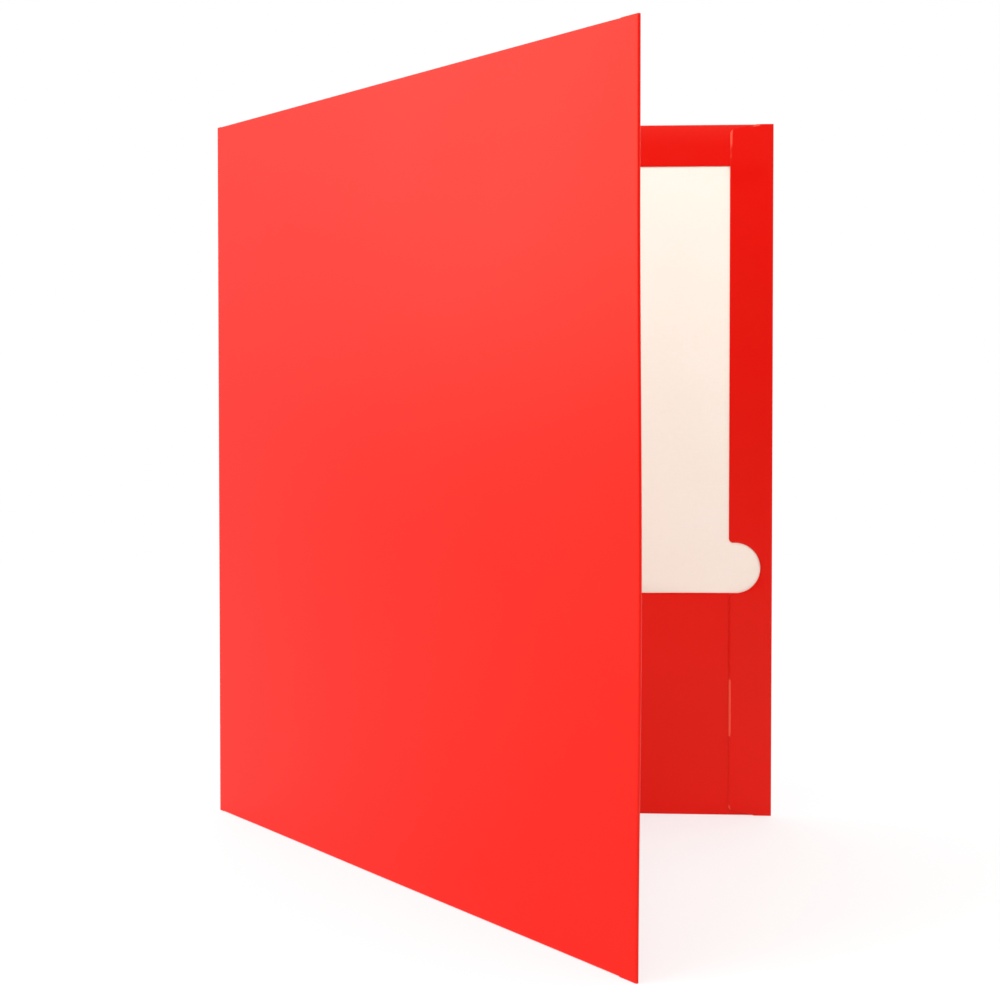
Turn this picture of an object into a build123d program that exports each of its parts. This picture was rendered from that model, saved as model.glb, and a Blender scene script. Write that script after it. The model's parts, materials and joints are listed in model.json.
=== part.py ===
from build123d import *
from math import cos, pi, radians, sin
import os

# Two pocket folder of laminated card, standing part open on its lower edges.
# The real one is a single die-cut sheet, glossy outside and bare inside. On each cover a top
# hem and a pocket are folded in first, then a side hem is folded over both of their ends and
# glued down. Here each panel is a piece, parted from its neighbour at the crease between them,
# and each flap carries the half-round roll of its own fold.
# A cover is built along +X from its spine crease, with its foot on z = 0, its inner face on
# y = 0 and the inside of the folder towards -Y. Depths are counted inward from that face.

# Driving dimensions, in millimetres and degrees
cover_height = 298.5
cover_width = 239.0
opening_angle = 43.8
sheet = 0.4
glue_film = 0.05
spine_width = 3.2

# Hems
top_hem_depth = 17.8
side_hem_width = 18.5
side_hem_taper = 2.5
hem_corner_radius = 1.8
corner_relief = 7.2

# Pockets
pocket_height = 96.6
pocket_gape = 5.0
gape_stations = 13
flap_inset = 2.5
flap_taper = 4.0

# Thumb notch in the side hem, just above the pocket's mouth
notch_radius = 10.9
notch_bridge = 5.0

# Glue lines
glue_width = 6.0
glue_margin = 3.0

# Fits and cuts
crease_clearance = 0.05
overrun = 2.0

# The layers: flaps folded first lie on the cover, and the side hem lies over their ends.
flap_gap = glue_film
side_gap = flap_gap + sheet + glue_film
flap_roll = flap_gap / 2 + sheet
side_roll = side_gap / 2 + sheet

# Places along the cover, from the spine crease
flap_end = cover_width - corner_relief
hem_edge = cover_width - side_hem_width
side_fold = cover_width - side_roll
notch_centre = (cover_width - notch_bridge - notch_radius, pocket_height + notch_radius)
notch_top = pocket_height + 2 * notch_radius
top_hem_edge = cover_height - top_hem_depth

# The front crease, seen from the back crease
half_angle = radians(opening_angle / 2)
front_crease = Vector(-spine_width * sin(half_angle), -spine_width * cos(half_angle), 0)
inward = Vector(0, -1, 0)


def outline(*corners):
    """A flat outline with the given corners."""
    return Polygon(*corners, align=None)


def panel(low_x, high_x, low_z, high_z):
    """A rectangular outline on the cover."""
    return outline((low_x, low_z), (high_x, low_z), (high_x, high_z), (low_x, high_z))


def layer(shape, depth, thickness):
    """A flat layer of card or glue, from a depth inward of the cover's inner face."""
    return extrude(Plane.XZ.offset(depth) * shape, amount=thickness, dir=inward)


def roll_section(gap):
    """The half-round section of a fold that leaves a gap between its two leaves."""
    radius = gap / 2 + sheet
    ring = Circle(radius) - Circle(gap / 2)
    return ring & Rectangle(radius, 2 * radius, align=(Align.MIN, Align.CENTER))


def folded_section(gap, reach):
    """The roll of a fold with a flat flap running back from it."""
    flap = Rectangle(reach, sheet, align=(Align.MAX, Align.MIN))
    return roll_section(gap) + Pos(0, gap / 2) * flap


def spine_end_cut(fold_level, edge_level):
    """The slanted cut that keeps a flap's free corner clear of the spine."""
    clear_of_end = flap_inset - overrun
    wedge = outline(
        (flap_inset, fold_level),
        (flap_inset + flap_taper, edge_level),
        (clear_of_end, edge_level),
        (clear_of_end, fold_level),
    )
    depth = pocket_gape + 2 * side_roll
    return layer(wedge, -depth, 2 * depth)


def cover():
    """One cover panel, stepped back where a fold's roll takes over, with a seat for its crease."""
    foot = [
        (0, 0),
        (flap_inset, 0),
        (flap_inset, flap_roll),
        (flap_end, flap_roll),
        (flap_end, 0),
        (side_fold, 0),
    ]
    head = [(x, cover_height - z) for x, z in reversed(foot)]
    crease_seat = Cylinder(sheet + crease_clearance, cover_height + 2 * overrun)
    return layer(outline(*foot, *head), -sheet, sheet) - Pos(0, 0, cover_height / 2) * crease_seat


def top_hem():
    """The strip folded down along the cover's top edge."""
    fold = Plane((flap_inset, -flap_gap / 2, cover_height - flap_roll), x_dir=(0, 0, 1), z_dir=(1, 0, 0))
    section = folded_section(flap_gap, top_hem_depth - flap_roll)
    strip = extrude(fold * section, amount=flap_end - flap_inset)
    return strip - spine_end_cut(cover_height, top_hem_edge)


def gape(x):
    """How far the pocket's mouth stands off the cover at a place along it."""
    share = (x - flap_inset) / (hem_edge - flap_inset)
    return pocket_gape * sin(pi * share) ** 2


def pocket_section(x):
    """The section of the pocket's panel, leaning from its fold out to its mouth."""
    back = -flap_gap
    mouth = back - gape(x)
    corners = (
        (back, flap_roll),
        (mouth, pocket_height),
        (mouth - sheet, pocket_height),
        (back - sheet, flap_roll),
    )
    return Plane.YZ.offset(x) * outline(*corners)


def pocket():
    """The pocket, folded up from the foot, with a bowed mouth and a flat end under the side hem."""
    fold = Plane((flap_end, -flap_gap / 2, flap_roll), x_dir=(0, 0, -1), z_dir=(-1, 0, 0))
    roll = extrude(fold * roll_section(flap_gap), amount=flap_end - flap_inset)
    step = (hem_edge - flap_inset) / (gape_stations - 1)
    bowed = loft([pocket_section(flap_inset + step * i) for i in range(gape_stations)], ruled=True)
    glued_end = layer(panel(hem_edge, flap_end, flap_roll, pocket_height), flap_gap, sheet)
    return roll + bowed + glued_end - spine_end_cut(0, pocket_height)


def side_hem():
    """The strip folded in over the top hem and the pocket, with tapered ends and the thumb notch."""
    past_fold = cover_width + overrun
    shape = outline(
        (hem_edge, side_hem_taper),
        (flap_end, 0),
        (past_fold, 0),
        (past_fold, cover_height),
        (flap_end, cover_height),
        (hem_edge, cover_height - side_hem_taper),
    )
    shape -= Pos(*notch_centre) * Circle(notch_radius)
    shape = fillet(shape.vertices().group_by(Axis.X)[0], hem_corner_radius)
    fold = Plane((side_fold, -side_gap / 2, 0), x_dir=(1, 0, 0), z_dir=(0, 0, -1))
    section = fold * folded_section(side_gap, side_hem_width - side_roll)
    strip = extrude(section, amount=cover_height, dir=(0, 0, 1))
    return strip & layer(shape, -2 * side_roll, 4 * side_roll)


def top_hem_glue():
    """The film that holds the top hem to the cover."""
    low_x = flap_inset + flap_taper + glue_margin
    low_z = top_hem_edge + glue_margin
    return layer(panel(low_x, hem_edge, low_z, low_z + glue_width), 0, flap_gap)


def side_hem_line(low_z, high_z, depth, thickness):
    """A glue line under the side hem, a margin inside its edge."""
    low_x = hem_edge + glue_margin
    return layer(panel(low_x, low_x + glue_width, low_z, high_z), depth, thickness)


def side_hem_glue():
    """The bead between the side hem and the bare cover."""
    return side_hem_line(notch_top + glue_margin, top_hem_edge - glue_margin, 0, side_gap)


def pocket_glue():
    """The film between the side hem and the pocket's end."""
    low_z = side_hem_taper + glue_margin
    return side_hem_line(low_z, pocket_height - glue_margin, flap_gap + sheet, glue_film)


def corner_glue():
    """The film between the side hem and the top hem's end."""
    high_z = cover_height - side_hem_taper - glue_margin
    return side_hem_line(top_hem_edge + glue_margin, high_z, flap_gap + sheet, glue_film)


def spine_strip():
    """The narrow spine with its two crease beads, made lying open and turned to its place."""
    strip = Box(spine_width, sheet, cover_height, align=(Align.MAX, Align.MIN, Align.MIN))
    for crease in (0, -spine_width):
        bead = Cylinder(sheet, cover_height, align=(Align.CENTER, Align.CENTER, Align.MIN))
        strip += Pos(crease, 0, 0) * bead
    return Rot(0, 0, 90 - opening_angle / 2) * strip


def on_front(piece):
    """A piece of the back cover, turned into its twin on the front cover."""
    return Pos(front_crease) * Rot(0, 0, -opening_angle) * mirror(piece, about=Plane.XZ)


makers = (cover, top_hem, pocket, side_hem, top_hem_glue, side_hem_glue, pocket_glue, corner_glue)
nodes = {"spine_strip": spine_strip()}
for maker in makers:
    made = maker()
    nodes[f"back_{maker.__name__}"] = made
    nodes[f"front_{maker.__name__}"] = on_front(made)

# The origin is the middle of the footprint, on the surface that the folder stands on.
bounds = Compound(list(nodes.values())).bounding_box()
to_origin = Pos(-bounds.center().X, -bounds.center().Y, -bounds.min.Z)
os.makedirs("parts", exist_ok=True)
for name, shape in nodes.items():
    export_step(to_origin * shape, f"parts/{name}.step")

print("size", bounds.size)
print("back crease", to_origin.position)
print("front crease", to_origin.position + front_crease)
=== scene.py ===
# %% [markdown]
# # A two pocket folder
# The folder is one die-cut sheet of laminated card, glossy red outside and bare cream inside.
# On each cover a top hem and a pocket are folded in first, then a side hem goes over both of
# their ends. This lesson dresses the imported model: its nodes give the sizes, the creases and
# the hinges, and Blender adds the two faces of the sheet, its cut edges, its set and its gloss.
# The first cell loads the model and keeps its parts, whose boxes give the sizes below.

import json
import math
from collections import namedtuple

import bmesh
import bpy
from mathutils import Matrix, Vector
from mathutils.geometry import delaunay_2d_cdt


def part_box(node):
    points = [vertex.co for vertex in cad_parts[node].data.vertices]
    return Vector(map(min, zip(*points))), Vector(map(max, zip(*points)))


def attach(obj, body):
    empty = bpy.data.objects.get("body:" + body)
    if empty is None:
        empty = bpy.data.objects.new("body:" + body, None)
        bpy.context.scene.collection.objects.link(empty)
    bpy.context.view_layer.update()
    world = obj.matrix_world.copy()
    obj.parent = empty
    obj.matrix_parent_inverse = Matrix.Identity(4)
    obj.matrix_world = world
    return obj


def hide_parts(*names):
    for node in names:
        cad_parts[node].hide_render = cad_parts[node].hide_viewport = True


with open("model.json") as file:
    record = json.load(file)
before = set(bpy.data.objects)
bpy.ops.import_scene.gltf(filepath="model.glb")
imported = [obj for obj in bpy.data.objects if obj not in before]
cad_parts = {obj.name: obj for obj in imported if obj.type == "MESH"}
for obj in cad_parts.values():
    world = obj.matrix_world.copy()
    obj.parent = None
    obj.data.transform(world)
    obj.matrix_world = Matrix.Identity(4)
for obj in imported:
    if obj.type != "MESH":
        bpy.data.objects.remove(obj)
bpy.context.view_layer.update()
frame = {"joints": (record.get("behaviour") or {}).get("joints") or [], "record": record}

# %% [markdown]
# ## Camera
# The picture was taken from a little above the middle of the covers, almost square to the back
# cover. Its upright edges stay nearly parallel, so the lens was held almost level and the frame
# was moved down instead. A camera could be tipped to get the same framing, but then the edges
# would lean. Here a small dip and a lens shift do it, as a view camera would.

# %% Camera
picture_width_px = 1000.0
focal_length_px = 1324.0
lens_axis_row_px = 422.4
sensor_width_mm = 36.0
camera_place = Vector((0.0282, -0.4918, 0.1813))
camera_turn = math.radians(2.54)
camera_dip = math.radians(1.09)
quarter_turn = math.pi / 2

lens = bpy.data.cameras.new("camera")
lens.sensor_width = sensor_width_mm
lens.lens = focal_length_px * sensor_width_mm / picture_width_px
lens.shift_y = (lens_axis_row_px - picture_width_px / 2) / picture_width_px
camera = bpy.data.objects.new("camera", lens)
camera.location = camera_place
camera.rotation_euler = (quarter_turn - camera_dip, 0, camera_turn)
bpy.context.scene.collection.objects.link(camera)
bpy.context.scene.camera = camera
bpy.context.scene.view_settings.view_transform = "Standard"
print("lens", round(lens.lens, 2), "mm, shift", round(lens.shift_y, 4))

# %% [markdown]
# ## The two leaves
# Each leaf turns about its own crease beside the narrow spine. A point on a leaf is easiest to
# give as the card sees it: how far along the cover from the crease, how deep inward of the
# cover's inner face, and how high. Places in the frame would need each number twice, once for
# each cover. The creases come from the joints and the ways the covers face from the mounts, so
# the same numbers build both leaves as mirror twins.

# %% The two leaves
Leaf = namedtuple("Leaf", "side body crease along inward")
up = Vector((0, 0, 1))
creases = {joint["child"]: Vector(joint["pos_m"]) for joint in frame["joints"]}
facing = {mount["name"]: Vector(mount["axis"]).normalized() for mount in frame["record"]["mounts"]}


def read_leaf(side):
    """A leaf's crease at floor level, its way along the cover and its way inward."""
    body = f"{side}_leaf"
    crease = Vector((creases[body].x, creases[body].y, 0))
    inward = -facing[f"{side}_face"]
    low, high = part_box(f"{side}_cover")
    along = up.cross(inward)
    if along.dot((low + high) / 2 - crease) < 0:
        along.negate()
    return Leaf(side, body, crease, along, inward)


back, front = read_leaf("back"), read_leaf("front")
leaves = (back, front)
opening = math.degrees(back.along.angle(front.along))
print("covers stand", round(opening, 1), "degrees apart")

# %% [markdown]
# ## Sizes of the sheet
# Nothing is measured twice. The back leaf lies square to the frame, so the boxes of its nodes
# give the height, the width, the card's thickness, the hems and the pocket. Only what a box
# can't show is written here: the thumb notch, the slanted ends and the rounded corners.

# %% Sizes of the sheet
Reach = namedtuple("Reach", "along inward up")
to_mm = 1000


def reach(node_name):
    """Least and greatest places of a back node: along its cover, inward of it, and up."""
    low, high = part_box(node_name)
    least = Reach(low.x - back.crease.x, back.crease.y - high.y, low.z)
    most = Reach(high.x - back.crease.x, back.crease.y - low.y, high.z)
    return least, most


cover_least, cover_most = reach("back_cover")
top_hem_least, top_hem_most = reach("back_top_hem")
side_hem_least, side_hem_most = reach("back_side_hem")
_, pocket_most = reach("back_pocket")
height = cover_most.up
width = side_hem_most.along
sheet = cover_most.inward - cover_least.inward
flap_gap = top_hem_most.inward - sheet
side_gap = side_hem_most.inward - sheet
flap_start = top_hem_least.along
flap_end = top_hem_most.along
hem_edge = side_hem_least.along
top_hem_edge = top_hem_least.up
mouth = pocket_most.up
gape = pocket_most.inward - sheet - flap_gap
flap_taper = 0.004
side_hem_taper = 0.0025
hem_corner_radius = 0.0018
notch_radius = 0.0109
notch_bridge = 0.005
print("sheet", round(sheet * to_mm, 2), "mm")
print("cover", round(width * to_mm, 1), "x", round(height * to_mm, 1), "mm")

# %% [markdown]
# ## Floor and backdrop
# The folder stands on its lower edges on a plain white sweep. The floor could be lit until it
# turns white, but that light would also fall on the folder. Instead the floor and the world are
# simply white where the camera or a reflection sees them. Near the folder, part of the floor's
# colour still comes from the lamps, so the folder keeps a soft shadow under it.


# %% Node helpers
def plug(tree, socket, value):
    """Links a socket to another, or sets its value."""
    if isinstance(value, bpy.types.NodeSocket):
        tree.links.new(value, socket)
    else:
        socket.default_value = value


def node(tree, kind, inputs=(), **settings):
    """A new shader node, with its settings and its inputs by name or number."""
    made = tree.nodes.new("ShaderNode" + kind)
    for name, value in settings.items():
        setattr(made, name, value)
    for name, value in dict(inputs).items():
        plug(tree, made.inputs[name], value)
    return made


def seen_directly(tree):
    """1 for rays from the camera, from a reflection or through something clear, else 0."""
    path = node(tree, "LightPath")
    seen = path.outputs["Is Camera Ray"]
    for other in ("Is Glossy Ray", "Is Transmission Ray"):
        seen = node(tree, "Math", {0: seen, 1: path.outputs[other]}, operation="MAXIMUM").outputs[0]
    return seen


def between(tree, value, low, high, out_low=0.0, out_high=1.0):
    """A value taken from one range to another, smoothly, and held at its ends."""
    inputs = {"Value": value, 1: low, 2: high, 3: out_low, 4: out_high}
    return node(tree, "MapRange", inputs, interpolation_type="SMOOTHSTEP").outputs[0]


# %% Studio helpers
def bare_tree(data):
    """The emptied node tree of a material or a world."""
    data.use_nodes = True
    data.node_tree.nodes.clear()
    return data.node_tree


def rectangle(low, high):
    """The four corners of a rectangle, anticlockwise from its lowest."""
    return [(low[0], low[1]), (high[0], low[1]), (high[0], high[1]), (low[0], high[1])]


def studio_card(name, corners, material):
    """A flat card of the studio, which isn't part of the folder."""
    mesh = bpy.data.meshes.new(name)
    mesh.from_pydata(corners, [], [(0, 1, 2, 3)])
    mesh.materials.append(material)
    card = bpy.data.objects.new(name, mesh)
    bpy.context.scene.collection.objects.link(card)
    return card


# %% Floor and backdrop
white = (1, 1, 1, 1)
white_level = 1.0
sweep_colour = (0.93, 0.93, 0.93, 1)
sweep_half_size = 8.0
sweep_drop = 0.0002
shadow_share = 0.45
shadow_near, shadow_far = 0.3, 1.1
ambient_level = 0.90

sweep = bpy.data.materials.new("white_sweep")
tree = bare_tree(sweep)
lit = node(tree, "BsdfDiffuse", {"Color": sweep_colour}).outputs[0]
glow = node(tree, "Emission", {"Color": white, "Strength": white_level}).outputs[0]
place = node(tree, "TexCoord").outputs["Object"]
away = node(tree, "VectorMath", {0: place}, operation="LENGTH").outputs["Value"]
glow_share = between(tree, away, shadow_near, shadow_far, 1 - shadow_share, 1.0)
pale = node(tree, "MixShader", {0: glow_share, 1: lit, 2: glow}).outputs[0]
shown = node(tree, "MixShader", {0: seen_directly(tree), 1: lit, 2: pale}).outputs[0]
node(tree, "OutputMaterial", {"Surface": shown})

far_corner = Vector((sweep_half_size, sweep_half_size))
corners = [(x, y, -sweep_drop) for x, y in rectangle(-far_corner, far_corner)]
floor = studio_card("floor", corners, sweep)

world = bpy.data.worlds.new("white_room")
tree = bare_tree(world)
ambient = node(tree, "Background", {"Color": white, "Strength": ambient_level}).outputs[0]
backdrop = node(tree, "Background", {"Color": white, "Strength": white_level}).outputs[0]
room = node(tree, "MixShader", {0: seen_directly(tree), 1: ambient, 2: backdrop}).outputs[0]
node(tree, "OutputWorld", {"Surface": room})
bpy.context.scene.world = world
print("white sweep", 2 * sweep_half_size, "m across, ambient", ambient_level)

# %% [markdown]
# ## Light
# Glossy card is lit by what it mirrors. The front cover faces left of the camera, so a wide soft
# box stands on the left, raised so that its image fades out down the cover: pink at the top,
# full red at the foot. The inside gets one box, high over the camera and a little to the right.
# From there the front cover hardly shades it, its image misses the lens, and the line beside the
# side hem stays faint, where light from the side would draw it dark. Bare lamps would leave hard
# spots in the gloss.

# %% Light
SoftBox = namedtuple("SoftBox", "name place size power")
aim = Vector((0, 0, height / 2))
soft_boxes = (
    SoftBox("cover_box", Vector((-1.5, -0.42, 0.85)), 1.4, 18.5),
    SoftBox("inside_box", Vector((0.4, -1.25, 1.6)), 1.0, 18.0),
)
for box in soft_boxes:
    lamp = bpy.data.lights.new(box.name, "AREA")
    lamp.shape = "SQUARE"
    lamp.size = box.size
    lamp.energy = box.power
    stand = bpy.data.objects.new(box.name, lamp)
    stand.location = box.place
    stand.rotation_euler = (aim - box.place).to_track_quat("-Z", "Y").to_euler()
    bpy.context.scene.collection.objects.link(stand)
    print(box.name, "at", tuple(round(v, 2) for v in box.place), box.power, "W")

# %% [markdown]
# ## Flag
# The red inside is seen square on, so it mirrors what is behind the camera, and a white room there
# would wash it out. A photographer hangs a black card behind the camera to keep such a red deep.
# The colour could be darkened instead, but then it would be wrong in any other light. The card
# takes light as a real one does, and it stays out of pictures taken from behind the folder.

# %% Flag
flag_colour = (0.02, 0.02, 0.02, 1)
flag_low = Vector((-0.35, -0.95, 0.0))
flag_high = Vector((0.85, -0.95, 0.8))

black_card = bpy.data.materials.new("black_card")
tree = bare_tree(black_card)
matt_black = node(tree, "BsdfDiffuse", {"Color": flag_colour}).outputs[0]
node(tree, "OutputMaterial", {"Surface": matt_black})
corners = [(x, flag_low.y, z) for x, z in rectangle(flag_low.xz, flag_high.xz)]
flag = studio_card("flag", corners, black_card)
flag.visible_camera = False
print("flag", round(flag_high.x - flag_low.x, 2), "x", round(flag_high.z - flag_low.z, 2), "m")

# %% [markdown]
# ## Red laminate
# The outside is printed solid red under a clear film. The film is smooth but not flat: it shows
# the card's fibres as a faint orange peel, and it picks up hairline scuffs. The pattern could be
# laid out with a UV map. Here each vertex keeps its place on the flat die-cut sheet in an
# attribute named blank, so the pattern runs round every fold as the real print does. A second
# attribute, rub, is 1 on a cut edge that has been rubbed, where the ink is thin and paler.


# %% Material helpers
def new_material(name):
    """A material, its node tree and its shader."""
    material = bpy.data.materials.new(name)
    material.use_nodes = True
    tree = material.node_tree
    return material, tree, tree.nodes["Principled BSDF"]


def sheet_places(tree, stretch=(1, 1, 1)):
    """The place on the flat sheet, in metres, stretched along its own axes."""
    place = node(tree, "Attribute", attribute_name="blank").outputs["Vector"]
    return node(tree, "VectorMath", {0: place, 1: stretch}, operation="MULTIPLY").outputs[0]


grain_roughness = 0.55


def grain(tree, size, stretch=(1, 1, 1), detail=2.0):
    """Noise between 0 and 1 whose blotches are about a size across, in metres."""
    places = sheet_places(tree, stretch)
    inputs = {"Vector": places, "Scale": 1 / size, "Detail": detail, "Roughness": grain_roughness}
    return node(tree, "TexNoise", inputs).outputs["Fac"]


def mixed(tree, share, first, second):
    """A colour between two others."""
    return node(tree, "Mix", {0: share, 6: first, 7: second}, data_type="RGBA").outputs[2]


def added(tree, first, second):
    """The sum of two values."""
    return node(tree, "Math", {0: first, 1: second}, operation="ADD").outputs[0]


def times(tree, first, second):
    """The product of two values."""
    return node(tree, "Math", {0: first, 1: second}, operation="MULTIPLY").outputs[0]


def bumped(tree, value, rise):
    """A normal bent by a value, which stands for a height of up to rise metres."""
    inputs = {"Height": value, "Distance": rise, "Strength": 1.0}
    return node(tree, "Bump", inputs).outputs["Normal"]


# %% Red laminate
full_red = (0.75, 0.0030, 0.0008, 1)
thin_red = (0.72, 0.0040, 0.0010, 1)
rubbed_red = (0.90, 0.085, 0.050, 1)
cloud_size, cloud_share = 0.07, 0.7
fibre_size, fibre_share, fibre_detail = 0.0007, 0.3, 3.0
ink_limits = (0.35, 0.65)
chip_size, chip_share = 0.003, 0.5
chip_limits = (0.72, 0.95)
rub_limits = (0.02, 0.3)
hairline_size = 0.0006
hairline_stretch = (0.02, 1.0, 1.0)
hairline_limits = (0.66, 0.78)
patch_size = cloud_size / 2
patch_limits = (0.35, 0.7)
film_roughness = 0.34
haze_limits = (0.3, 0.7)
haze_dulling, scuff_dulling, worn_dulling = 0.03, 0.12, 0.5
film_ior = 1.45
film_gloss = 0.28
# The film's reflection is tinted warm, though a clear film reflects white: a painted warm cast in the
# gloss.
warm_reflection_tint = (1.0, 0.95, 0.70, 1)
peel_size = 0.0022
peel_rise = 0.000004

laminate, tree, shader = new_material("red_laminate")
clouds = grain(tree, cloud_size)
fibres = grain(tree, fibre_size, detail=fibre_detail)
mottle = added(tree, times(tree, clouds, cloud_share), times(tree, fibres, fibre_share))
ink = mixed(tree, between(tree, mottle, *ink_limits), full_red, thin_red)
rub = node(tree, "Attribute", attribute_name="rub").outputs["Fac"]
chips = added(tree, rub, times(tree, grain(tree, chip_size), chip_share))
worn = times(tree, between(tree, chips, *chip_limits), between(tree, rub, *rub_limits))
plug(tree, shader.inputs["Base Color"], mixed(tree, worn, ink, rubbed_red))
hairlines = between(tree, grain(tree, hairline_size, hairline_stretch), *hairline_limits)
patches = between(tree, grain(tree, patch_size), *patch_limits)
scuffs = times(tree, hairlines, patches)
haze = between(tree, clouds, *haze_limits, film_roughness, film_roughness + haze_dulling)
gloss = added(tree, times(tree, scuffs, scuff_dulling), haze)
plug(tree, shader.inputs["Roughness"], added(tree, gloss, times(tree, worn, worn_dulling)))
shader.inputs["IOR"].default_value = film_ior
shader.inputs["Specular IOR Level"].default_value = film_gloss
shader.inputs["Specular Tint"].default_value = warm_reflection_tint
peel = bumped(tree, grain(tree, peel_size), peel_rise)
plug(tree, shader.inputs["Normal"], peel)
print("red laminate:", len(tree.nodes), "nodes")

# %% [markdown]
# ## Bare card
# The inside is uncoated card, a warm cream. Close to, it is a felt of short fibres with a few
# darker flecks. One noise would look like clouds, so two stretched noises cross each other as
# fibres do, and a third makes the slow, faint mottle that a sheet of board has by daylight.

# %% Bare card
cream = (0.93, 0.875, 0.79, 1)
warm_cream = (0.91, 0.845, 0.75, 1)
fleck_colour = (0.72, 0.62, 0.50, 1)
felt_size, felt_share = 0.0009, 0.5
felt_long = (0.25, 1.0, 1.0)
felt_tall = (1.0, 0.25, 1.0)
felt_limits = (0.3, 0.7)
mottle_share, cast_felt_share = 0.6, 0.4
cast_limits = (0.38, 0.62)
fleck_size, fleck_strength = 0.0011, 0.35
fleck_limits = (0.74, 0.80)
card_roughness = (0.82, 0.94)
card_gloss = 0.25
tooth_rise = 0.000012

bare, tree, shader = new_material("bare_card")
long_fibres = times(tree, grain(tree, felt_size, felt_long), felt_share)
tall_fibres = times(tree, grain(tree, felt_size, felt_tall), felt_share)
felt = added(tree, long_fibres, tall_fibres)
slow_mottle = times(tree, grain(tree, cloud_size), mottle_share)
cast = added(tree, slow_mottle, times(tree, felt, cast_felt_share))
stock = mixed(tree, between(tree, cast, *cast_limits), cream, warm_cream)
flecks = between(tree, grain(tree, fleck_size, felt_tall), *fleck_limits, 0.0, fleck_strength)
plug(tree, shader.inputs["Base Color"], mixed(tree, flecks, stock, fleck_colour))
plug(tree, shader.inputs["Roughness"], between(tree, felt, *felt_limits, *card_roughness))
shader.inputs["Specular IOR Level"].default_value = card_gloss
plug(tree, shader.inputs["Normal"], bumped(tree, felt, tooth_rise))
print("bare card:", len(tree.nodes), "nodes")

# %% [markdown]
# ## Cut edges and glue
# A knife leaves the card's core open all round, stained red by the ink that it drags along, with
# a hair of red film along one side. It could be one flat colour, but close to, a cut edge shows
# its plies. The third number of the blank attribute runs from 0 on the bare face to 1 on the red
# face, so on a cut edge it says how deep in the sheet a point is. The glue is a dried, slightly
# yellow white film that only shows where a flap is bent up, and it has the streaks of a wheel.

# %% Cut edges
stained_core = (0.80, 0.21, 0.14, 1)
deep_core = (0.74, 0.15, 0.09, 1)
ply_count, ply_strength = 5.0, 0.12
lint_stretch = (1, 1, 0.0006)
core_limits = (0.3, 0.75)
film_share, film_fade = 0.86, 0.08
film_raggedness = 0.12
edge_limits = (0.2, 0.8)
edge_roughness = (0.78, 0.95)
edge_gloss = 0.2

cut_edge, tree, shader = new_material("cut_edge")
depth = node(tree, "SeparateXYZ", {0: sheet_places(tree)}).outputs["Z"]
ply_turns = times(tree, depth, ply_count * math.tau)
plies = node(tree, "Math", {0: ply_turns}, operation="SINE").outputs[0]
lint = grain(tree, fibre_size, lint_stretch)
layers = added(tree, times(tree, plies, ply_strength), lint)
core = mixed(tree, between(tree, layers, *core_limits), stained_core, deep_core)
ragged_depth = added(tree, depth, times(tree, lint, film_raggedness))
film = between(tree, ragged_depth, film_share, film_share + film_fade)
plug(tree, shader.inputs["Base Color"], mixed(tree, film, core, full_red))
plug(tree, shader.inputs["Roughness"], between(tree, layers, *edge_limits, *edge_roughness))
plug(tree, shader.inputs["Normal"], bumped(tree, layers, tooth_rise))
shader.inputs["Specular IOR Level"].default_value = edge_gloss
print("cut edge:", len(tree.nodes), "nodes")

# %% Dried glue
thin_glue = (0.86, 0.82, 0.70, 1)
thick_glue = (0.78, 0.72, 0.58, 1)
streak_size = 0.0015
streak_stretch = (1.0, 0.1, 1.0)
streak_limits = (0.3, 0.7)
glue_roughness = (0.4, 0.6)

glue, tree, shader = new_material("dried_glue")
streaks = grain(tree, streak_size, streak_stretch)
plug(tree, shader.inputs["Base Color"], mixed(tree, streaks, thin_glue, thick_glue))
plug(tree, shader.inputs["Roughness"], between(tree, streaks, *streak_limits, *glue_roughness))
plug(tree, shader.inputs["Normal"], bumped(tree, streaks, tooth_rise))
print("dried glue:", len(tree.nodes), "nodes")

# %% [markdown]
# ## The set of the card
# Card is never flat. The free edge bends in a little beside the thumb notch, where the hem is
# cut and the cover is weakest, the layers of the hem cant the cover over them, and the panel
# carries slow waves from drying and handling. This could be sculpted on each piece. A formula is
# better here: all layers of a leaf use the same one, so they bend together and never cut through
# each other. It fades out at the crease, which has to stay straight to turn.

# %% The set of the card
edge_bow = {"back": 0.0004, "front": 0.0013}
bow_foot = -0.010
bow_head = 0.250
bow_power = 4
wave_rise = 0.00010
wave_length, wave_start = 0.19, 0.7
wave_height, wave_lift = 0.26, 0.4
crease_hold = 0.030
hem_cant = {"back": 0.00008, "front": 0.00022}


def clamped(value):
    """A value held between 0 and 1."""
    return min(max(value, 0.0), 1.0)


def settle(side, along, high):
    """How far the card lies inward of its flat shape."""
    free = clamped(along / width)
    bend = clamped((high - bow_foot) / (bow_head - bow_foot))
    bow = edge_bow[side] * free ** bow_power * math.sin(math.pi * bend) ** 2
    wave = math.sin(math.tau * along / wave_length + wave_start)
    wave *= math.cos(math.tau * high / wave_height + wave_lift)
    held = clamped(along / crease_hold) ** 2
    cant = hem_cant[side] * clamped((along - hem_edge) / (width - hem_edge)) * clamped(high / height)
    return bow + wave_rise * held * wave + cant


def on_leaf(leaf, along, inward, high):
    """A point of a leaf, in the frame."""
    deep = inward + settle(leaf.side, along, high)
    return leaf.crease + along * leaf.along + deep * leaf.inward + high * up


middle = on_leaf(front, width, 0, height / 2) - on_leaf(front, width, 0, 0)
print("front edge bends in", round(middle.dot(front.inward) * to_mm, 2), "mm at half height")

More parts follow.
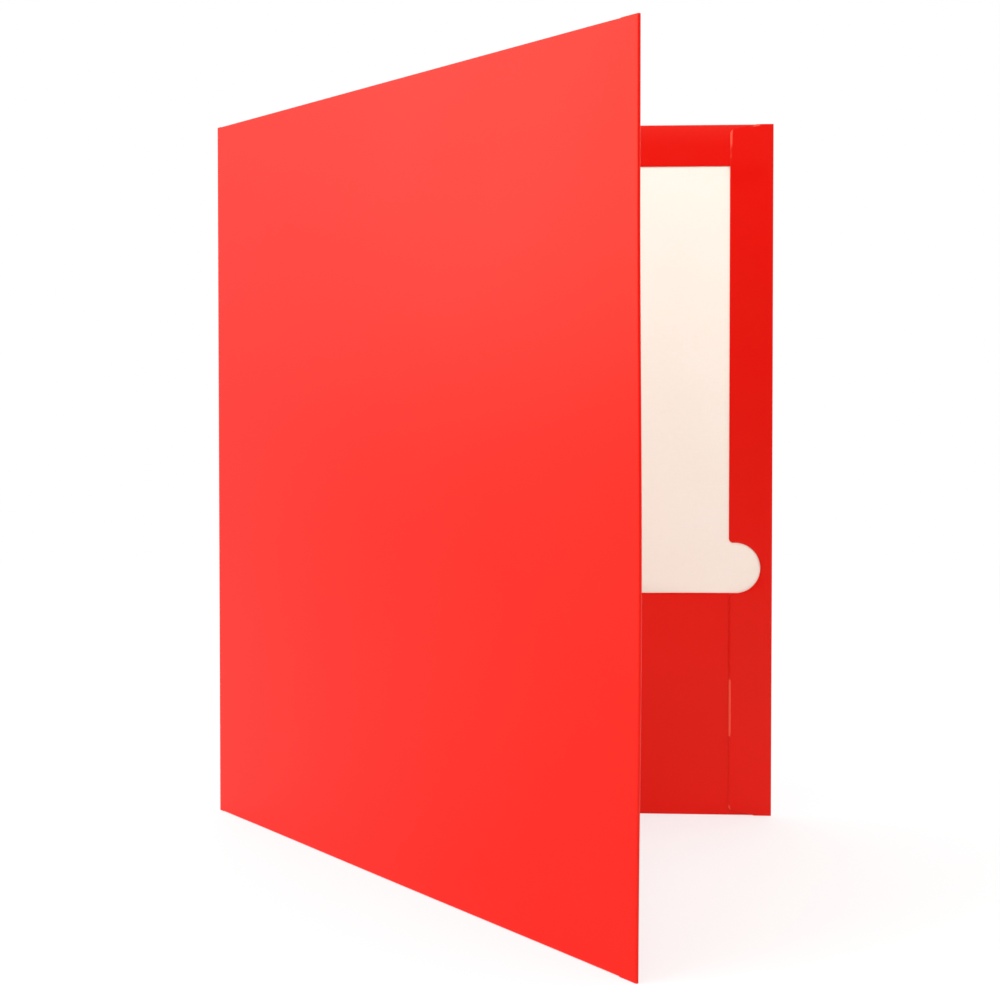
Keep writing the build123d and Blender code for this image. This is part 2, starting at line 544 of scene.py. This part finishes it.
# %% [markdown]
# ## Cutting a blank
# Every panel is cut flat and then folded, as in the factory. An outline is filled with triangles
# on a grid of rows and columns, so that the panel can bend, and with a narrow rim along the cut,
# which carries the wear and the rounding that a knife leaves. A grid modifier would give squares
# but couldn't follow the round notch, so Blender's own triangulation of an outline with inner
# points does the work.

# %% Outlines
corner_clear = 0.0008
arc_step = 0.0006
least_arc_steps = 4


def steps(low, high, size):
    """Evenly spaced places between two others, both left out."""
    count = max(int((high - low) / size), 1)
    return [low + (high - low) * i / count for i in range(1, count)]


def arc(centre, radius, start, end):
    """Points along an arc, from one angle to another."""
    count = max(int(abs(end - start) * radius / arc_step), least_arc_steps)
    turns = [start + (end - start) * i / count for i in range(count + 1)]
    return [Vector((centre.x + radius * math.cos(t), centre.y + radius * math.sin(t))) for t in turns]


def split_by_grid(outline, columns, rows):
    """The outline with a point wherever one of its straight runs crosses the grid."""
    points = []
    for start, end in zip(outline, outline[1:] + outline[:1]):
        run = end - start
        crossings = {0.0}
        for axis, lines in enumerate((columns, rows)):
            if abs(run[axis]) > corner_clear:
                crossings.update((line - start[axis]) / run[axis] for line in lines)
        clear = corner_clear / run.length
        points += [start + run * t for t in sorted(crossings) if t == 0.0 or clear < t < 1 - clear]
    return points


def inset(outline, distance):
    """The same outline, moved inward by a distance."""
    moved = []
    for before, here, after in zip(outline[-1:] + outline, outline, outline[1:] + outline[:1]):
        first = Vector((before.y - here.y, here.x - before.x)).normalized()
        second = Vector((here.y - after.y, after.x - here.x)).normalized()
        moved.append(here + (first + second) * distance / (1 + first.dot(second)))
    return moved


# %% Filling an outline
rim_width = 0.00038
rim_bands = 3
core_share = 1.25
inside_only = 1
same_place = 1e-9


def inside(point, outline):
    """Whether a point lies inside an outline."""
    hit = False
    for start, end in zip(outline, outline[1:] + outline[:1]):
        if (start.y > point.y) != (end.y > point.y):
            if point.x < start.x + (end.x - start.x) * (point.y - start.y) / (end.y - start.y):
                hit = not hit
    return hit


def loop_edges(first, count):
    """The edges of a closed loop of points."""
    return [(first + i, first + (i + 1) % count) for i in range(count)]


def fill(outline, columns, rows):
    """Points, triangles, cut edges and bands of the rim that fill an outline given anticlockwise."""
    outer = split_by_grid(outline, columns, rows)
    count = len(outer)
    loops, edges = [], []
    for band in range(rim_bands + 1):
        edges += loop_edges(len(loops), count)
        loops += inset(outer, band * rim_width)
    core = inset(outer, core_share * rim_bands * rim_width)
    grid = [Vector((x, y)) for x in columns for y in rows]
    grid = [point for point in grid if inside(point, core)]
    face = [list(range(count))]
    filled = delaunay_2d_cdt(loops + grid, edges, face, inside_only, same_place)
    points, _, triangles, sources, *_ = filled
    bands = {index: min(source) // count for index, source in enumerate(sources) if source}
    uses = {}
    for triangle in triangles:
        for a, b in zip(triangle, triangle[1:] + triangle[:1]):
            uses.setdefault(frozenset((a, b)), []).append((a, b))
    rim = [found[0] for found in uses.values() if len(found) == 1]
    return points, triangles, rim, bands


print("rim of", rim_bands, "bands,", round(rim_bands * rim_width * to_mm, 2), "mm wide")

# %% [markdown]
# ## Folding a blank
# A fold in card isn't sharp: the sheet rolls over in a half circle as wide as what lies inside.
# The place of a point on the blank says how far past the start of the fold it is, so one
# function rolls any flap, with the bare face on the inside of the bend and the film outside. A
# bend modifier could roll a flap too, but it wouldn't give each face of the sheet its own radius.
# The two leaves are cut from different places of the printed roll, so the front one's pattern is
# shifted and the covers don't look like copies.

# %% Folding a blank
roll_columns = 10


def roll_radius(gap):
    """The outer radius of a fold round a gap."""
    return gap / 2 + sheet


def roll_length(gap):
    """How much of the blank a fold round a gap takes up, along the middle of the sheet."""
    return math.pi * (gap / 2 + sheet / 2)


def rolled(past, gap, face):
    """Where a fold takes a point: how far past the fold's start it still is, and how deep."""
    radius = gap / 2 + face * sheet
    turn = math.pi * clamped(past / roll_length(gap))
    flat = past - turn * roll_length(gap) / math.pi
    straight = flat if past < 0 else -flat
    return radius * math.sin(turn) + straight, gap / 2 - radius * math.cos(turn)


def roll_places(gap):
    """Places across a fold where the blank needs points to bend."""
    return [roll_length(gap) * i / roll_columns for i in range(roll_columns + 1)]


fold_lengths = [round(roll_length(gap) * to_mm, 2) for gap in (flap_gap, side_gap)]
print("folds of the flaps and the side hem take", fold_lengths, "mm of the blank")

# %% From a blank to a piece
bare_face, film_face, cut_face = 0, 1, 2
rim_drop_shares = (0.35, 0.10, 0.0)
pattern_shift = {"back": 0.0, "front": 0.9}
sharp_angle = math.radians(40)


def sheet_piece(name, leaf, blank, shape, wear=None):
    """A closed piece of sheet: two faces that a shape function puts in place, and cut walls.

    Where the wear is above 0 the edge was cut by the knife, which pressed the film's side down.
    """
    points, triangles, rim, bands = blank
    bm = bmesh.new()
    place = bm.verts.layers.float_vector.new("blank")
    rub = bm.verts.layers.float.new("rub")
    faces = []
    for face in (bare_face, film_face):
        verts = []
        for index, point in enumerate(points):
            vert = bm.verts.new(on_leaf(leaf, *shape(point, face)))
            vert[place] = (point.x + pattern_shift[leaf.side], point.y, face)
            if wear and bands.get(index, rim_bands) < rim_bands and wear(point) > 0:
                vert[rub] = wear(point)
                drop = face * rim_drop_shares[bands[index]]
                vert.co = vert.co.lerp(on_leaf(leaf, *shape(point, bare_face)), drop)
            verts.append(vert)
        for triangle in triangles:
            bm.faces.new([verts[i] for i in triangle]).material_index = face
        faces.append(verts)
    for a, b in rim:
        wall = [faces[bare_face][a], faces[bare_face][b], faces[film_face][b], faces[film_face][a]]
        bm.faces.new(wall).material_index = cut_face
    bmesh.ops.recalc_face_normals(bm, faces=bm.faces)
    return finished(name, bm, (bare, laminate, cut_edge))


def finished(name, bm, materials):
    """Turns a bmesh into an object with smooth bends and sharp cut edges."""
    mesh = bpy.data.meshes.new(name)
    bm.to_mesh(mesh)
    bm.free()
    for material in materials:
        mesh.materials.append(material)
    mesh.polygons.foreach_set("use_smooth", [True] * len(mesh.polygons))
    mesh.set_sharp_from_angle(angle=sharp_angle)
    piece = bpy.data.objects.new(name, mesh)
    bpy.context.scene.collection.objects.link(piece)
    print(name, "has", len(mesh.polygons), "faces")
    return piece


def dress(piece, body, node_name):
    """Sets a piece on its body in place of a node, which it hides."""
    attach(piece, body)
    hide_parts(node_name)


# %% [markdown]
# ## Covers
# A cover is the big flat panel. It stops just before the folds begin, because each flap carries
# the roll of its own fold and a short lead of flat card. Beside the spine it is hollowed to sit
# round the bead of the crease. A scaled cube would have the size, but no steps and no hollow.

# %% Covers
crease_clearance = 0.00005
fold_lead = 0.0016
grid_step = 0.006
flap_fold = roll_radius(flap_gap)
side_fold = width - roll_radius(side_gap)
grid_rows = steps(0, height, grid_step)
grid_columns = steps(0, width, grid_step)


def cover_outline():
    """The cover, stepped back along its folds, anticlockwise from its lower spine corner."""
    far = side_fold - fold_lead
    fold_level = flap_fold + fold_lead
    foot = [
        (0, 0),
        (flap_start, 0),
        (flap_start, fold_level),
        (flap_end, fold_level),
        (flap_end, 0),
        (far, 0),
    ]
    head = [(x, height - y) for x, y in reversed(foot)]
    return [Vector(point) for point in foot + head]


def cover_shape(point, face):
    """The cover lies flat, and its spine edge is hollowed round the crease."""
    inward = -face * sheet
    seat = math.sqrt((sheet + crease_clearance) ** 2 - inward ** 2)
    return max(point.x, seat), inward, point.y


cover_blank = fill(cover_outline(), grid_columns, grid_rows)
for leaf in leaves:
    piece = sheet_piece(f"{leaf.side}_cover_panel", leaf, cover_blank, cover_shape)
    dress(piece, leaf.body, f"{leaf.side}_cover")

# %% [markdown]
# ## Top hems
# The strip along the head is folded down first and glued, so that the top edge is a smooth red
# roll and not a raw cut. Its end beside the spine is slanted, to keep clear when the folder shuts.
# A bevel along the cover would look alike from far off, but it has no free edge to catch the light.

# %% Top hems
hem_reach = roll_length(flap_gap) + (height - top_hem_edge) - flap_fold
plain_wear = 0.3


def flap_outline(fold_level, way, cut):
    """A flap folded at a level, cut to a length past its fold, upward or downward on the blank."""
    start = fold_level - way * fold_lead
    corners = [
        (flap_start, start),
        (flap_end, start),
        (flap_end, fold_level + way * cut),
        (flap_start + flap_taper, fold_level + way * cut),
    ]
    corners += [(flap_start, fold_level + way * past) for past in reversed(roll_places(flap_gap))]
    return [Vector(point) for point in (corners if way > 0 else reversed(corners))]


def top_hem_shape(point, face):
    """The top hem rolls over at the head and lies down on the cover."""
    past, inward = rolled(point.y - (height - flap_fold), flap_gap, face)
    return point.x, inward, height - flap_fold + past


def top_hem_wear(point):
    """Its cut edge is a little rubbed, its fold isn't cut at all."""
    return plain_wear if point.y > height else 0.0


fold_rows = [height - flap_fold + past for past in roll_places(flap_gap)]
hem_rows = fold_rows + steps(fold_rows[-1], height - flap_fold + hem_reach, grid_step)
hem_blank = fill(flap_outline(height - flap_fold, 1, hem_reach), grid_columns, hem_rows)
for leaf in leaves:
    piece = sheet_piece(f"{leaf.side}_top_hem_strip", leaf, hem_blank, top_hem_shape, top_hem_wear)
    dress(piece, leaf.body, f"{leaf.side}_top_hem")

# %% [markdown]
# ## Pockets
# The pocket is folded up from the foot. It is held along its fold and at its outer end only, so
# its mouth bows away from the cover, most in the middle. The lean grows from nothing at the fold
# to the full gape at the mouth, and the glued end under the side hem stays flat. Cloth simulation
# could bow it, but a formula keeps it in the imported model's place, which the hinges' range needs.

# %% Pockets
pocket_reach = roll_length(flap_gap) + mouth - flap_fold


def pocket_bow(along, high):
    """How far the pocket stands off the cover."""
    share = clamped((along - flap_start) / (hem_edge - flap_start))
    lean = clamped((high - flap_fold) / (mouth - flap_fold))
    return gape * math.sin(math.pi * share) ** 2 * lean


def pocket_shape(point, face):
    """The pocket rolls over at the foot, lies up the cover and bows off it."""
    past, inward = rolled(flap_fold - point.y, flap_gap, face)
    high = flap_fold - past
    bow = pocket_bow(point.x, high) if point.y < flap_fold - roll_length(flap_gap) else 0.0
    return point.x, inward + bow, high


def pocket_wear(point):
    """Only the mouth and the slanted end are cut."""
    return plain_wear if point.y < 0 else 0.0


fold_rows = [flap_fold - past for past in roll_places(flap_gap)]
pocket_rows = fold_rows + steps(flap_fold - pocket_reach, fold_rows[-1], grid_step)
pocket_blank = fill(flap_outline(flap_fold, -1, pocket_reach), grid_columns, pocket_rows)
for leaf in leaves:
    piece = sheet_piece(f"{leaf.side}_pocket_panel", leaf, pocket_blank, pocket_shape, pocket_wear)
    dress(piece, leaf.body, f"{leaf.side}_pocket")

# %% [markdown]
# ## Side hems
# The side hem goes on last, over the ends of the top hem and the pocket, and holds them. Its own
# ends are cut on a slant with rounded corners, and just above the pocket's mouth a round thumb
# notch is punched through it, whose lips are rounded too. A boolean could punch it, but drawn into
# the outline it keeps a clean rim. Between the pocket and the top hem the hem comes down to the
# bare cover. Handling has rubbed the film off its edge in places: most along a stretch of the
# pocket, and at the tips of the corners.


# %% Side hem outline
def rounded(before, corner, after, radius):
    """An arc in place of the corner between two straight runs."""
    first = (before - corner).normalized()
    second = (after - corner).normalized()
    half = first.angle(second) / 2
    centre = corner + (first + second).normalized() * radius / math.sin(half)
    start = corner + first * radius / math.tan(half) - centre
    end = corner + second * radius / math.tan(half) - centre
    begin = math.atan2(start.y, start.x)
    span = math.remainder(math.atan2(end.y, end.x) - begin, math.tau)
    return arc(centre, radius, begin, begin + span)


def notch_outline():
    """The thumb notch and its rounded lips, from below to above, on the folded hem."""
    centre = Vector((width - notch_bridge - notch_radius, mouth + notch_radius))
    lip_x = hem_edge + hem_corner_radius
    rise = math.sqrt((notch_radius + hem_corner_radius) ** 2 - (lip_x - centre.x) ** 2)
    lower = Vector((lip_x, centre.y - rise))
    upper = Vector((lip_x, centre.y + rise))
    tilt = math.atan2(rise, centre.x - lip_x)
    lower_lip = arc(lower, hem_corner_radius, math.pi, tilt)
    punch = arc(centre, notch_radius, tilt - math.pi, math.pi - tilt)
    upper_lip = arc(upper, hem_corner_radius, -tilt, -math.pi)
    return lower_lip + punch[1:] + upper_lip[1:]


def across_fold(along):
    """Turns a place on the folded hem into its place on the blank, or back again."""
    return 2 * side_fold + roll_length(side_gap) - along


def side_hem_outline():
    """The side hem on the blank: its folded outline, turned back over the fold line."""
    low_tip = Vector((hem_edge, side_hem_taper))
    high_tip = Vector((hem_edge, height - side_hem_taper))
    low_bend, high_bend = Vector((flap_end, 0)), Vector((flap_end, height))
    folded = [low_bend]
    folded += rounded(low_bend, low_tip, high_tip, hem_corner_radius)
    folded += notch_outline()
    folded += rounded(low_tip, high_tip, high_bend, hem_corner_radius)
    folded += [high_bend]
    unfolded = [Vector((across_fold(point.x), point.y)) for point in folded]
    start = side_fold - fold_lead
    return [Vector((start, 0))] + unfolded + [Vector((start, height))]


# %% Side hem drape and wear
Rub = namedtuple("Rub", "low high start end")
tip_rub_start = height - 0.0065
tip_rub_end = height - 0.0020
# Heights between which the edge is rubbed, and how rubbed it is at each of them, from 0 to 1
rubs = (
    Rub(0.0345, 0.0575, 1.0, 1.0),
    Rub(0.0655, 0.0685, 0.5, 0.5),
    Rub(0.0205, 0.0225, 0.5, 0.5),
    Rub(0.0020, 0.0046, 0.9, 0.6),
    Rub(top_hem_edge, tip_rub_start, 0.35, 0.65),
    Rub(tip_rub_start, tip_rub_end, 0.75, 1.0),
)
corner_chip = 0.0012
drape_run = 0.008


def eased(value):
    """A share between 0 and 1 that starts and stops gently."""
    share = clamped(value)
    return share * share * (3 - 2 * share)


def drape(along, high):
    """How far the hem comes down to the bare cover, between the pocket and the top hem."""
    off_pocket = eased((high - mouth) / drape_run)
    off_top_hem = eased((top_hem_edge - high) / drape_run)
    off_fold = eased((side_fold - along) / drape_run)
    return (side_gap - flap_gap) * off_pocket * off_top_hem * off_fold


def side_hem_shape(point, face):
    """The side hem rolls in over the outer edge and lies on whatever is beneath."""
    past, inward = rolled(point.x - side_fold, side_gap, face)
    along = side_fold + past
    on_flap = point.x > side_fold + roll_length(side_gap)
    return along, inward - (drape(along, point.y) if on_flap else 0.0), point.y


def side_hem_wear(point):
    """How rubbed its cut edge is: most on some stretches and not at all on its slanted ends."""
    if point.x < width:
        return 0.0
    along = across_fold(point.x)
    if (Vector((along, point.y)) - Vector((flap_end, height))).length < corner_chip:
        return 1.0
    for rub in rubs:
        if along < hem_edge + hem_corner_radius / 2 and rub.low < point.y < rub.high:
            return rub.start + (rub.end - rub.start) * (point.y - rub.low) / (rub.high - rub.low)
    on_slant = min(point.y, height - point.y) < side_hem_taper
    return 0.0 if on_slant else plain_wear


# %% Side hems
side_columns = [side_fold + past for past in roll_places(side_gap)]
side_columns += steps(side_columns[-1], side_columns[-1] + side_fold - hem_edge, grid_step / 2)
side_rows = steps(0, height, grid_step / 2)
side_blank = fill(side_hem_outline(), side_columns, side_rows)
for leaf in leaves:
    piece = sheet_piece(f"{leaf.side}_side_hem_strip", leaf, side_blank, side_hem_shape, side_hem_wear)
    dress(piece, leaf.body, f"{leaf.side}_side_hem")

# %% [markdown]
# ## Glue lines
# The glue under the flaps is four thin films on each leaf. They could stay as they are in the
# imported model, but the card over them now has its set, so each film is made again between the
# same two depths and bends with the card.


# %% Glue lines
def film_blank(node_name):
    """A glue film's outline, filled, and the two depths that it lies between."""
    least, most = reach(node_name)
    corners = rectangle((least.along, least.up), (most.along, most.up))
    outline = [Vector(corner) for corner in corners]
    columns = steps(least.along, most.along, grid_step)
    rows = steps(least.up, most.up, grid_step)
    return fill(outline, columns, rows), least.inward, most.inward


def film_shape(under, over, pressed):
    """The shape function of a film between two depths, which the draped hem may press down."""

    def shape(point, face):
        """Where the film's face puts a point of its outline."""
        inward = over if face == film_face else under
        if pressed and face == film_face:
            inward -= drape(point.x, point.y)
        return point.x, inward, point.y

    return shape


for film in ("top_hem_glue", "side_hem_glue", "pocket_glue", "corner_glue"):
    blank, under, over = film_blank(f"back_{film}")
    shape = film_shape(under, over, pressed=film == "side_hem_glue")
    for leaf in leaves:
        piece = sheet_piece(f"{leaf.side}_{film}_film", leaf, blank, shape)
        piece.data.materials.clear()
        piece.data.materials.append(glue)
        piece.data.polygons.foreach_set("material_index", [0] * len(piece.data.polygons))
        dress(piece, leaf.body, f"{leaf.side}_{film}")

# %% [markdown]
# ## Spine
# Between the covers is a spine as narrow as a few sheets of paper, with a pressed crease on each
# side. A crease pressed into card is a rounded bead, and the beads lie round the hinge lines, so
# the outside stays closed at every opening. Two cylinders and a box could be joined, but one
# section, drawn once and carried up the spine, leaves no seams.

# %% Spine
bead_steps = 10
bead_quarters = 3
spine_row_count = 48


def spine_section():
    """The spine's outline seen from above, with the face that each point starts."""
    run = front.crease - back.crease
    along = run.normalized()
    outer = along.cross(up)
    if outer.dot(back.along) > 0:
        outer.negate()
    section = []
    turns = [quarter_turn * i / bead_steps for i in range(bead_quarters * bead_steps + 1)]
    for crease, ahead, order in ((front.crease, along, 1), (back.crease, -along, -1)):
        for turn in turns[::order]:
            place = crease + sheet * (outer * math.cos(turn) + ahead * math.sin(turn))
            section.append((place, film_face if turn <= quarter_turn else bare_face))
    return section


bm = bmesh.new()
place_layer = bm.verts.layers.float_vector.new("blank")
bm.verts.layers.float.new("rub")
section = spine_section()
rings = []
for row in range(spine_row_count + 1):
    high = height * row / spine_row_count
    ring = []
    for index, (place, face) in enumerate(section):
        vert = bm.verts.new(place + high * up)
        vert[place_layer] = (-index * sheet / bead_steps, high, face)
        ring.append(vert)
    rings.append(ring)
for low_ring, high_ring in zip(rings, rings[1:]):
    for index in range(len(section)):
        after = (index + 1) % len(section)
        quad = [low_ring[index], low_ring[after], high_ring[after], high_ring[index]]
        both_film = section[index][1] == section[after][1] == film_face
        bm.faces.new(quad).material_index = film_face if both_film else bare_face
for ring in (rings[0], rings[-1]):
    bm.faces.new(ring).material_index = cut_face
bmesh.ops.recalc_face_normals(bm, faces=bm.faces)
spine = finished("spine_fold", bm, (bare, laminate, cut_edge))
dress(spine, "spine", "spine_strip")
